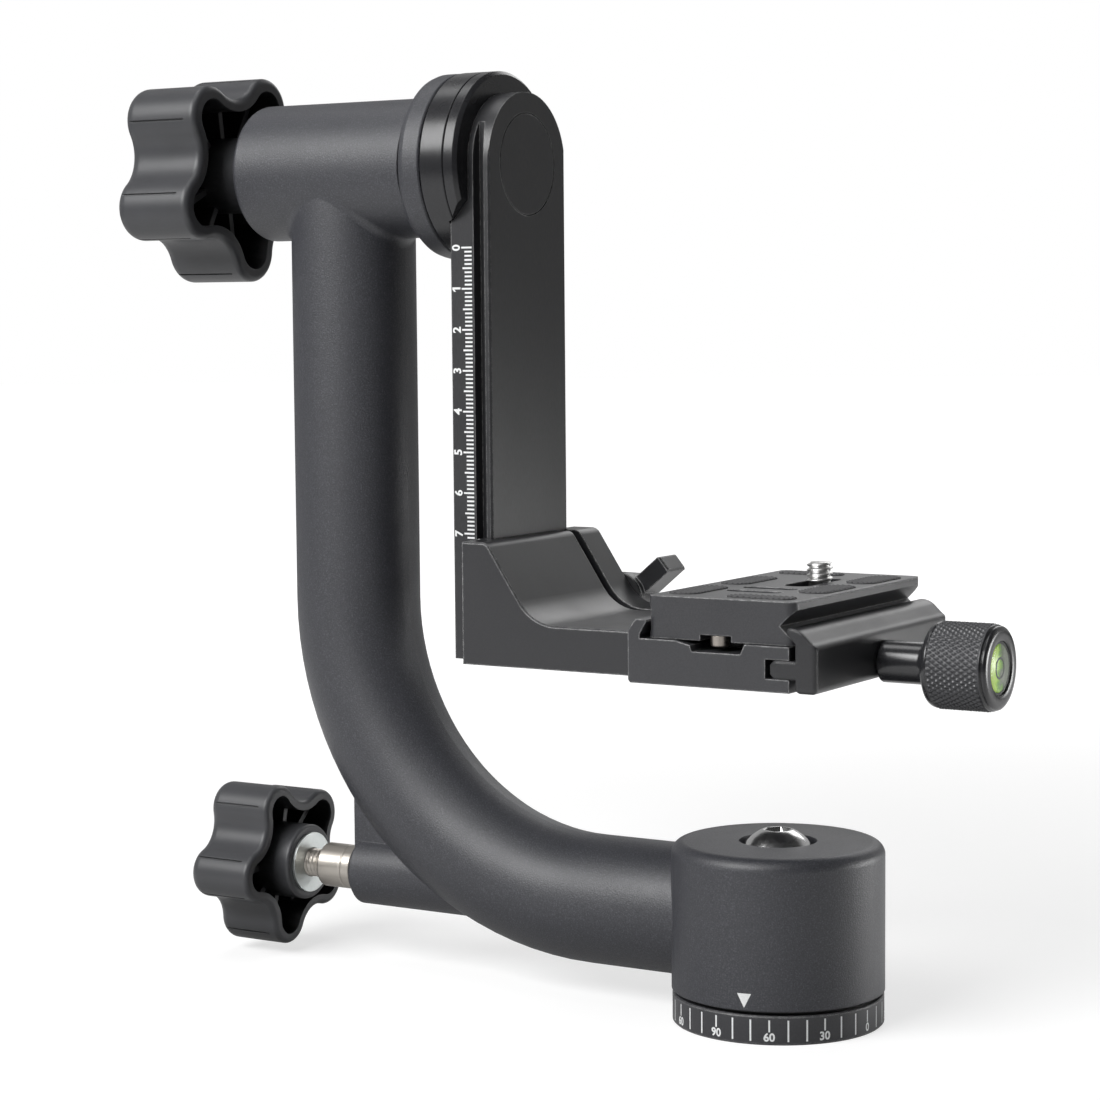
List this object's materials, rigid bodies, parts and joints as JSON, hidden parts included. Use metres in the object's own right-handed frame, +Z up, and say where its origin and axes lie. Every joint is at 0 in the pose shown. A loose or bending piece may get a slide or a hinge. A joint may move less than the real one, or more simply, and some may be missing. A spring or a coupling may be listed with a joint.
{
  "type": "gimbal tripod head",
  "caption": "Side-mounted gimbal head: a swept arm turns on a panning base and carries a tilting rail with a height-adjustable bracket, a dovetail clamp and a camera plate.",
  "frame": {"origin": "mouth of the tripod thread, at the centre of the base's underside", "axes": "+Z up along the pan axis; X along the tilt axis, lock knobs towards -X and the clamp's knob towards +X; +Y away from the picture's camera"},
  "size_m": [0.237, 0.0741, 0.2321],
  "materials": {
    "powder_coat": "fine textured matt dark grey powder coat",
    "black_anodised": "satin black anodised",
    "steel": "bright stainless",
    "nickel": "nickel plated",
    "zinc": "dull zinc plated",
    "knob_plastic": "matt moulded dark grey",
    "white_plastic": "acetal",
    "nylon": "black nylon",
    "brass": "turned",
    "pad_rubber": "ribbed",
    "level_green": "clear yellow-green fluid under a lens"
  },
  "bodies": {
    "pan_base": {"base_dial": "black_anodised", "tripod_bush": "steel", "pan_screw": "steel", "pan_washer": "steel", "pan_glide_ring": "nylon"},
    "arm": {"main_arm": "powder_coat", "pan_bush": "white_plastic", "pan_lock_bush": "nickel", "tilt_lock_bush": "nickel", "tilt_bearing_outer_races": "steel", "bearing_spacer": "nylon", "bearing_circlip": "steel"},
    "pan_lock_slide": {"pan_lock_rod": "steel", "pan_lock_plug": "brass"},
    "pan_lock_knob": {"pan_knob": "knob_plastic", "pan_lock_screw": "nickel", "pan_knob_washer": "zinc"},
    "tilt_lock_slide": {"tilt_lock_plug": "brass"},
    "tilt_lock_knob": {"tilt_knob": "knob_plastic", "tilt_lock_screw": "nickel", "tilt_knob_washer": "zinc"},
    "swing_arm": {"pivot_shaft": "steel", "tilt_bearing_inner_races": "steel", "friction_disc": "black_anodised", "pivot_hub": "black_anodised", "swing_rail": "black_anodised", "pivot_bolt": "steel", "axis_cap": "black_anodised"},
    "platform": {"bracket": "black_anodised", "clamp_body": "black_anodised", "clamp_bolts": "steel", "jaw_pins": "steel", "jaw_spring": "steel", "qr_guide_rods": "steel", "qr_springs": "steel"},
    "rail_jaw": {"bracket_jaw": "black_anodised"},
    "rail_lever": {"clamp_lever": "black_anodised", "lever_screw": "steel", "lever_washer": "nylon"},
    "clamp_jaw": {"qr_jaw": "black_anodised"},
    "clamp_knob": {"qr_knob": "black_anodised", "qr_screw": "steel", "level_cup": "nylon", "level_vial": "level_green"},
    "release_plate": {"plate": "black_anodised", "plate_pads": "pad_rubber", "stop_screws": "nickel"},
    "screw_carrier": {"screw_retainer": "nylon"},
    "mounting_screw": {"camera_screw": "nickel"}
  },
  "joints": [
    {"name": "pan", "type": "hinge", "parent": "pan_base", "child": "arm", "pos_m": [0, 0, 0], "axis": [0, 0, 1], "continuous": true},
    {"name": "pan_lock_travel", "type": "slide", "parent": "arm", "child": "pan_lock_slide", "axis": [1, 0, 0], "range_m": [-0.00125, 0.00021]},
    {"name": "pan_lock_turn", "type": "hinge", "parent": "pan_lock_slide", "child": "pan_lock_knob", "pos_m": [-0.15, 0, 0.0247], "axis": [1, 0, 0], "range_deg": [-360, 60]},
    {"name": "tilt", "type": "hinge", "parent": "arm", "child": "swing_arm", "pos_m": [-0.08, 0, 0.2063], "axis": [1, 0, 0], "continuous": true},
    {"name": "tilt_lock_travel", "type": "slide", "parent": "arm", "child": "tilt_lock_slide", "axis": [1, 0, 0], "range_m": [-0.00125, 0.00021]},
    {"name": "tilt_lock_turn", "type": "hinge", "parent": "tilt_lock_slide", "child": "tilt_lock_knob", "pos_m": [-0.165, 0, 0.2063], "axis": [1, 0, 0], "range_deg": [-360, 60]},
    {"name": "platform_height", "type": "slide", "parent": "swing_arm", "child": "platform", "axis": [0, 0, 1], "range_m": [0, 0.071]},
    {"name": "rail_jaw_opening", "type": "slide", "parent": "platform", "child": "rail_jaw", "axis": [0, 1, 0], "range_m": [0, 0.0005]},
    {"name": "rail_lever_turn", "type": "hinge", "parent": "rail_jaw", "child": "rail_lever", "pos_m": [-0.0592, 0.03, 0.0965], "axis": [0, 1, 0], "range_deg": [0, 180]},
    {"name": "clamp_jaw_opening", "type": "slide", "parent": "platform", "child": "clamp_jaw", "axis": [1, 0, 0], "range_m": [-0.0009, 0.004]},
    {"name": "clamp_knob_turn", "type": "hinge", "parent": "clamp_jaw", "child": "clamp_knob", "pos_m": [0.05, 0, 0.0883], "axis": [1, 0, 0], "range_deg": [-324, 1440]},
    {"name": "plate_slide", "type": "slide", "parent": "platform", "child": "release_plate", "axis": [0, 1, 0], "range_m": [-0.0053, 0.0053]},
    {"name": "screw_slide", "type": "slide", "parent": "release_plate", "child": "screw_carrier", "axis": [0, 1, 0], "range_m": [-0.0105, 0.0038]},
    {"name": "camera_screw_turn", "type": "hinge", "parent": "screw_carrier", "child": "mounting_screw", "pos_m": [0.005, 0.0125, 0.1], "axis": [0, 0, 1], "continuous": true}
  ],
  "couplings": [
    {"joint": "pan_lock_turn", "follows": "pan_lock_travel", "rad_per_m": 5026.5},
    {"joint": "tilt_lock_turn", "follows": "tilt_lock_travel", "rad_per_m": 5026.5},
    {"joint": "rail_lever_turn", "follows": "rail_jaw_opening", "rad_per_m": 6283.2},
    {"joint": "clamp_knob_turn", "follows": "clamp_jaw_opening", "rad_per_m": 6283.2}
  ]
}
